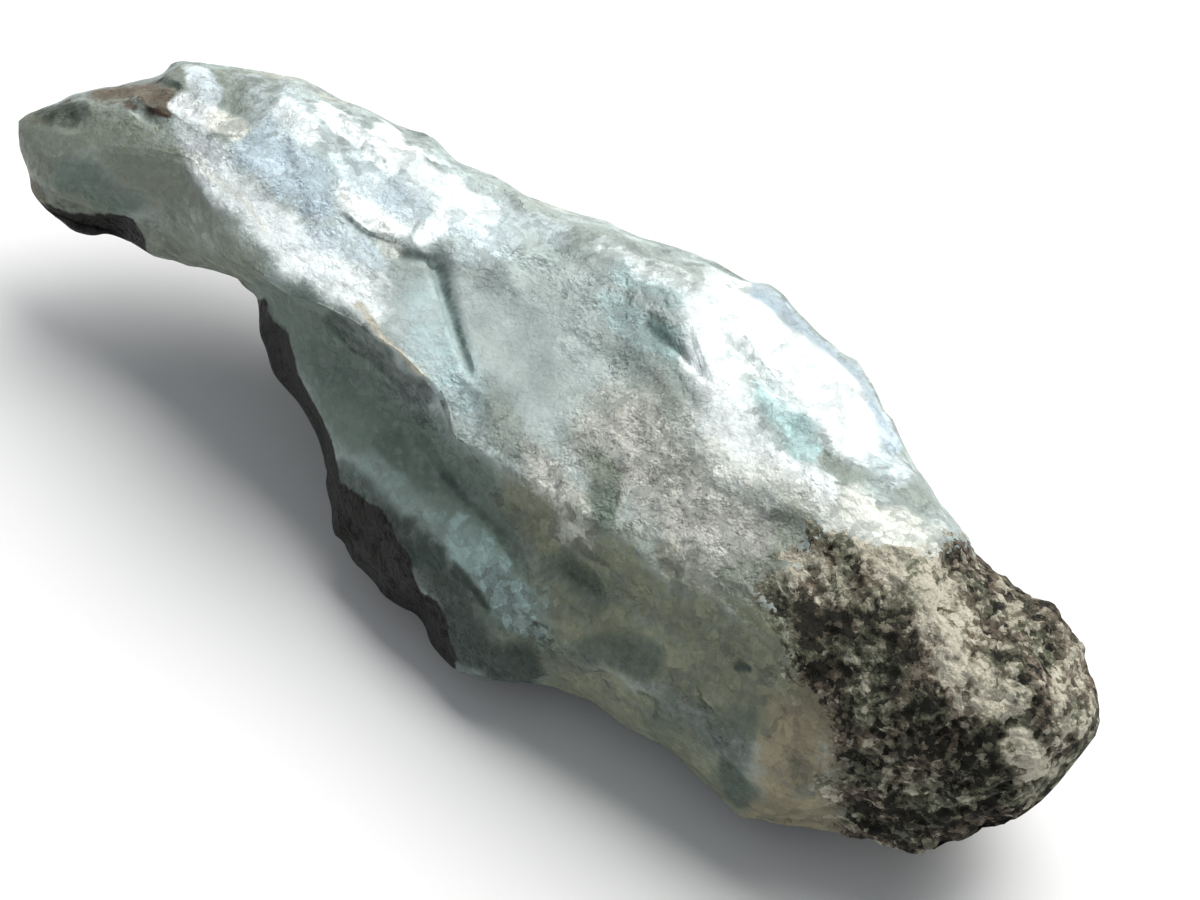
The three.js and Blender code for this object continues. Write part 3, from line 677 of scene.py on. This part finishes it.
# Clouds of colour on the back: the name, the size and where the noise starts and fills them.
BACK_CLOUDS = (("teal", 15, 0.4, 0.65), ("white", 10, 0.5, 0.85), ("sage", 6, 0.55, 0.7))
# Upper border of the dark skin at the show face's lower edge, as (u, v).
SKIN_BORDER = (
    (-63, -9), (-61.5, -5.8), (-57, -4.4), (-52.2, -2.9), (-50, -4.3), (-48, -6), (-38, -6),
    (-36.8, -3.3), (-33, -5), (-30, -8), (-24, -12.2), (-21, -15.4), (-16, -15.6), (-12, -18),
    (-9, -20.4), (-4.5, -22.8), (-2, -25.5), (0, -28),
)


def patches(areas, p):
    """How strongly each point lies in any of the areas, from 0 to 1, with ragged borders.

    Narrow areas have crisp borders and run to a point.
    """
    waves = ((6, 1.1), (2.4, 0.8), (1.1, 0.4))
    u, v = [
        p[..., axis] + sum(size * noise(p, length, seed + length) for length, size in waves)
        for axis, seed in ((0, 41.0), (1, 51.0))
    ]
    total = np.zeros(u.shape)
    for path, width, strength in areas:
        breadth = min(1, width / 3)
        x = lerp(p[..., 0], u, breadth)
        y = lerp(p[..., 1], v, breadth)
        distance, _, share = nearest(path, x, y)
        inside = 1 - distance / (width * (1 - 0.6 * share if width < 1.2 else 1))
        total = np.maximum(total, strength * smoothstep(inside, 0, max(0.8 * breadth, 0.6 / width)))
    return total


def skin_share(p, out):
    """The dark skin at the show face's lower edge and on the underside."""
    below = along(SKIN_BORDER, p[..., 0], 1) - p[..., 1] + 0.4 * noise(p, 2.2, 61.0)
    front = smoothstep(below, -0.3, 0.5)
    under = smoothstep(-out[..., 2], 0.05, 0.3) * smoothstep(p[..., 1] + 4 * noise(p, 7, 67.0), 9, 3)
    return np.maximum(front, under)


def surface_masks(p, out):
    """The colours' areas as one value for each point of the mesh.

    They end at the upper rim, but run on a little way under the lower one.
    """
    low = smoothstep(-p[..., 1], -4, 2)
    facing = smoothstep(out[..., 2] + 0.3 * low + 0.12 * noise(p, 5, 71.0), -0.1, 0.2)
    masks = {name: facing * patches(areas, p) for name, areas in AREAS.items()}
    masks["basalt"] = basalt_share(p, 3.5)
    masks["skin"] = skin_share(p, out)
    masks["back"] = smoothstep(-out[..., 2], -0.1, 0.3)
    return masks


def stone_mesh():
    p = bare_stone()
    out = normals(p, 6)
    p = p + solid_relief(p, out)[..., None] * out
    masks = surface_masks(p, out)
    fine, masks["tone"] = fine_relief(p, masks)
    p = p + (end_fade(p) * fine)[..., None] * normals(p, 1)
    world = to_world(p)
    world[..., 2] = np.maximum(world[..., 2], 0)
    columns = p.shape[1]
    grid = 1 + np.arange((ROWS - 1) * columns).reshape(ROWS - 1, columns)
    after = np.roll(grid, -1, axis=1)
    quads = np.stack((grid[:-1], after[:-1], after[1:], grid[1:]), axis=-1).reshape(-1, 4)
    last_corner = 1 + grid.size
    head = np.stack((np.zeros(columns, int), after[0], grid[0]), axis=-1)
    end = np.stack((np.full(columns, last_corner), grid[-1], after[-1]), axis=-1)
    faces = [*head.tolist(), *quads.tolist(), *end.tolist()]
    mesh = bpy.data.meshes.new("larimar_surface")
    mesh.from_pydata((by_corner(world) * MM).tolist(), [], faces)
    mesh.polygons.foreach_set("use_smooth", [True] * len(mesh.polygons))
    for name, values in masks.items():
        layer = mesh.attributes.new(name, "FLOAT", "POINT")
        layer.data.foreach_set("value", by_corner(values).astype("f"))
    return mesh


def by_corner(values):
    """A value of each ring's point as one list, in which each tip comes once."""
    return np.concatenate((values[0, :1], *values[1:-1], values[-1, :1]))


# Materials
def paint(name):
    """One of the COLOURS in linear light."""
    shares = [c / 255 for c in COLOURS[name]]
    return [c / 12.92 if c <= 0.04045 else ((c + 0.055) / 1.055) ** 2.4 for c in shares] + [1]


class Shader:
    """Short ways to add and link the nodes of one material."""

    def __init__(self, name):
        self.material = bpy.data.materials.new(name)
        self.material.use_nodes = True
        self.tree = self.material.node_tree
        self.surface = self.tree.nodes["Principled BSDF"]
        self.place = self.add("ShaderNodeTexCoord").outputs["Object"]

    def add(self, kind, inputs=None, **settings):
        node = self.tree.nodes.new(kind)
        for name, value in settings.items():
            setattr(node, name, value)
        for name, value in (inputs or {}).items():
            self.set(node.inputs[name], value)
        return node

    def set(self, socket, value):
        if isinstance(value, bpy.types.NodeSocket):
            self.tree.links.new(value, socket)
        else:
            socket.default_value = value

    def mask(self, name):
        return self.add("ShaderNodeAttribute", attribute_name=name).outputs["Fac"]

    def noise(self, size, detail=3):
        """Noise from 0 to 1 whose lumps are about this many millimetres wide."""
        values = {"Vector": self.place, "Scale": 1 / (size * MM), "Detail": detail}
        return self.add("ShaderNodeTexNoise", values).outputs["Fac"]

    def facets(self, size):
        """Ragged chips about this many millimetres wide, each tilted its own way.

        Gives each place its chip's random value from -1 to 1, and its height in millimetres.
        """
        wander = self.add("ShaderNodeTexNoise", {"Vector": self.place, "Scale": 2 / (size * MM)})
        shift = self.vector("SUBTRACT", wander.outputs["Color"], (0.5, 0.5, 0.5))
        place = self.vector("ADD", self.place, self.vector("MULTIPLY", shift, (0.9 * size * MM,) * 3))
        cell = self.add("ShaderNodeTexVoronoi", {"Vector": place, "Scale": 1 / (size * MM)})
        tilt = self.vector("SUBTRACT", cell.outputs["Color"], (0.5, 0.5, 0.5))
        way = self.vector("SUBTRACT", place, cell.outputs["Position"])
        height = self.vector("DOT_PRODUCT", way, tilt, "Value")
        value = self.ranged(cell.outputs["Color"], 0.2, 0.8, -1, 1)
        return value, self.maths("MULTIPLY", height, 1 / MM)

    def vector(self, operation, a, b, output="Vector"):
        return self.add("ShaderNodeVectorMath", {0: a, 1: b}, operation=operation).outputs[output]

    def total(self, *parts):
        """Sum of (value, low, high, to_low, to_high) parts, each brought to its own range."""
        ranged = [self.ranged(*part) for part in parts]
        while len(ranged) > 1:
            ranged.append(self.maths("ADD", ranged.pop(0), ranged.pop(0)))
        return ranged[0]

    def maths(self, operation, a, b):
        return self.add("ShaderNodeMath", {0: a, 1: b}, operation=operation).outputs[0]

    def ranged(self, value, low, high, to_low=0, to_high=1):
        values = {0: value, 1: low, 2: high, 3: to_low, 4: to_high}
        return self.add("ShaderNodeMapRange", values).outputs[0]

    def mix(self, share, a, b):
        node = self.add("ShaderNodeMix", data_type="RGBA")
        self.set(node.inputs[0], share)
        self.set(node.inputs[6], a)
        self.set(node.inputs[7], b)
        return node.outputs[2]

    def scaled(self, colour, factor):
        """The colour times a grey value."""
        return self.add("ShaderNodeVectorMath", {0: colour, "Scale": factor}, operation="SCALE").outputs[0]


class StoneShader(Shader):
    """The stone's one material. Its patterns of chips and grains shape all of its colours."""

    def __init__(self):
        super().__init__("larimar")
        self.mottle = self.noise(5, 3)
        self.speckle = self.noise(0.9, 4)
        self.grit = self.noise(0.35, 3)
        self.chip, self.chip_height = self.facets(2.2)
        self.flake, self.flake_height = self.facets(0.9)
        self.crumb, self.crumb_height = self.facets(0.5)
        self.rag = self.total(
            (self.chip, -1, 1, -0.1, 0.1),
            (self.flake, -1, 1, -0.12, 0.12),
            (self.speckle, 0.3, 0.7, -0.12, 0.12),
        )

    def ragged(self, value):
        return self.maths("ADD", value, self.rag)

    def larimar(self):
        """Pale blue stone with its areas of colour, lighter and darker from chip to chip."""
        colour = self.mix(self.ranged(self.mottle, 0.35, 0.65), paint("larimar"), paint("pale"))
        colour = self.clouded(colour)
        for name in TINT_ORDER:
            share = self.ranged(self.ragged(self.mask(name)), 0, 1)
            share = self.maths("MULTIPLY", share, self.ranged(self.mask(name), 0, 0.25))
            colour = self.mix(share, colour, paint(name))
        return self.scaled(colour, self.ranged(self.chipped_tone(), 0, 1, 0.65, 1.35))

    def clouded(self, colour):
        """The colour with the clouds of the back over it."""
        for name, size, low, high in BACK_CLOUDS:
            rag = self.ranged(self.rag, -0.3, 0.3, -0.1, 0.1)
            cloud = self.ranged(self.maths("ADD", self.noise(size, 4), rag), low, high)
            colour = self.mix(self.maths("MULTIPLY", self.mask("back"), cloud), colour, paint(name))
        return colour

    def chipped_tone(self):
        """The larimar's tone, which varies most in the grainy zone and least where it is smooth, and which
        holds painted light on the grit's bumps in the grainy zone.
        """
        chipped = self.total(
            (self.chip, -1, 1, -0.25, 0.25),
            (self.flake, -1, 1, -0.25, 0.25),
            (self.grit, 0.3, 0.7, -0.05, 0.05),
        )
        chipped = self.maths("MULTIPLY", chipped, self.ranged(self.mask("calm"), 0, 1, 1, 0.4))
        chipped = self.maths("MULTIPLY", chipped, self.ranged(self.mask("grain"), 0, 1, 1, 1.4))
        return self.maths("ADD", self.mask("tone"), chipped)

    def with_skin(self, colour):
        """The colour with the dark skin over it, which is patched with slate on the underside."""
        worn_off = self.ranged(self.speckle, 0.35, 0.65, 0, 0.4)
        skin = self.mix(worn_off, paint("skin"), paint("basalt_dark"))
        earth = self.ranged(self.noise(5, 5), 0.4, 0.7, 0, 0.7)
        skin = self.mix(self.maths("MULTIPLY", self.mask("back"), earth), skin, paint("slate"))
        return self.mix(self.ranged(self.ragged(self.mask("skin")), 0.3, 0.7), colour, skin)

    def with_basalt(self, colour):
        """The colour with the basalt over it, crumbly where the two meet."""
        basalt = self.mask("basalt")
        border = self.maths("MULTIPLY", basalt, self.ranged(basalt, 0, 1, 4, 0))
        crumbs = self.maths("MULTIPLY", border, self.ranged(self.rag, -0.3, 0.3, -1, 1))
        crust = self.maths("ADD", basalt, crumbs)
        return self.mix(self.ranged(crust, 0.4, 0.6), colour, self.basalt())

    def basalt(self):
        """Dark rock with pits and pale grains. Its tone holds painted shade in the pits and painted light
        on the grit's bumps.
        """
        tone = self.total(
            (self.mask("tone"), 0, 1, 0, 1),
            (self.chip, -1, 1, -0.1, 0.1),
            (self.flake, -1, 1, -0.38, 0.38),
            (self.crumb, -1, 1, -0.2, 0.2),
            (self.speckle, 0.3, 0.7, -0.1, 0.1),
            (self.mask("rock_pale"), 0, 1, 0, 0.85),
            (self.mask("rock_dark"), 0, 1, 0, -0.3),
        )
        ground = self.mix(self.ranged(self.mottle, 0.4, 0.6), paint("basalt"), paint("basalt_brown"))
        rock = self.mix(self.ranged(tone, 0.15, 0.65), paint("basalt_dark"), ground)
        return self.mix(self.ranged(tone, 0.7, 1.2), rock, paint("basalt_light"))

    def roughness(self):
        return self.ranged(self.maths("ADD", self.mask("basalt"), self.speckle), 0.3, 1.5, 0.42, 0.85)

    def height(self):
        """The finest relief in millimetres, for the bump."""
        broken = self.ranged(self.mask("calm"), 0, 1, 1, 0.3)
        rough = self.total((self.mask("basalt"), 0, 1, 0, 0.5), (self.mask("grain"), 0, 1, 0, 0.5))
        chips_there = self.maths("MULTIPLY", self.chip_height, broken)
        flakes_there = self.maths("MULTIPLY", self.flake_height, self.maths("ADD", broken, rough))
        crumbs_there = self.maths("MULTIPLY", self.crumb_height, rough)
        return self.total(
            (chips_there, -1, 1, -0.5, 0.5),
            (flakes_there, -1, 1, -0.5, 0.5),
            (crumbs_there, -1, 1, -0.8, 0.8),
            (self.maths("MULTIPLY", self.grit, broken), 0, 1, 0, 0.05),
        )


def larimar_material():
    s = StoneShader()
    s.set(s.surface.inputs["Base Color"], s.with_basalt(s.with_skin(s.larimar())))
    s.set(s.surface.inputs["Roughness"], s.roughness())
    s.set(s.surface.inputs["Specular IOR Level"], 0.2)
    bump = s.add("ShaderNodeBump", {"Height": s.height(), "Strength": 1, "Distance": MM})
    s.set(s.surface.inputs["Normal"], bump.outputs["Normal"])
    return s.material


def floor_material():
    s = Shader("floor")
    s.set(s.surface.inputs["Base Color"], (0.9, 0.9, 0.9, 1))
    s.set(s.surface.inputs["Roughness"], 0.8)
    return s.material


def stone_piece():
    piece = bpy.data.objects.new("rough_larimar", stone_mesh())
    bpy.context.scene.collection.objects.link(piece)
    piece.data.materials.append(larimar_material())
    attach(piece, "root")
    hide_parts("larimar_stone")


def floor():
    bpy.ops.mesh.primitive_plane_add(size=6)
    plane = bpy.context.object
    plane.name = "floor"
    plane.data.materials.append(floor_material())


def from_screen(x, y, towards):
    """A direction that is given as right, up and towards the camera, in the world."""
    y, z = spun(y, towards, math.pi / 2 - EYE_ELEVATION)
    x, y = spun(x, y, HEADING)
    return Vector((x, y, z)).normalized()


def area_light(name, screen_direction, distance, size, power, colour=(1, 1, 1)):
    """A square lamp that shines at the stone from a direction of the camera's frame."""
    lamp = bpy.data.lights.new(name, "AREA")
    lamp.size = size
    lamp.energy = power
    lamp.color = colour
    away = from_screen(*screen_direction)
    holder = bpy.data.objects.new(name, lamp)
    holder.location = away * distance
    holder.rotation_euler = away.to_track_quat("Z", "Y").to_euler()
    bpy.context.scene.collection.objects.link(holder)


def lights():
    area_light("window", (0.35, 0.8, 0.42), 1.1, 0.9, 17, (1, 0.99, 0.97))
    area_light("fill", (-0.6, -0.1, 1), 1.4, 1.2, 0.8)
    world = bpy.data.worlds.new("studio")
    world.use_nodes = True
    world.node_tree.nodes["Background"].inputs["Color"].default_value = (0.9, 0.95, 1, 1)
    world.node_tree.nodes["Background"].inputs["Strength"].default_value = 0.28
    bpy.context.scene.world = world
    bpy.context.scene.view_settings.view_transform = "Standard"


def camera():
    """The eye of the show face's frame."""
    data = bpy.data.cameras.new("camera")
    data.sensor_width = 36
    data.lens = data.sensor_width * EYE_DISTANCE / PICTURE_WIDTH
    eye = bpy.data.objects.new("camera", data)
    eye.location = turned(np.array((0, 0, EYE_DISTANCE)) - REST_SPOT) * MM
    eye.rotation_euler = (math.pi / 2 - EYE_ELEVATION, 0, HEADING)
    bpy.context.scene.collection.objects.link(eye)
    bpy.context.scene.camera = eye


stone_piece()
floor()
lights()
camera()
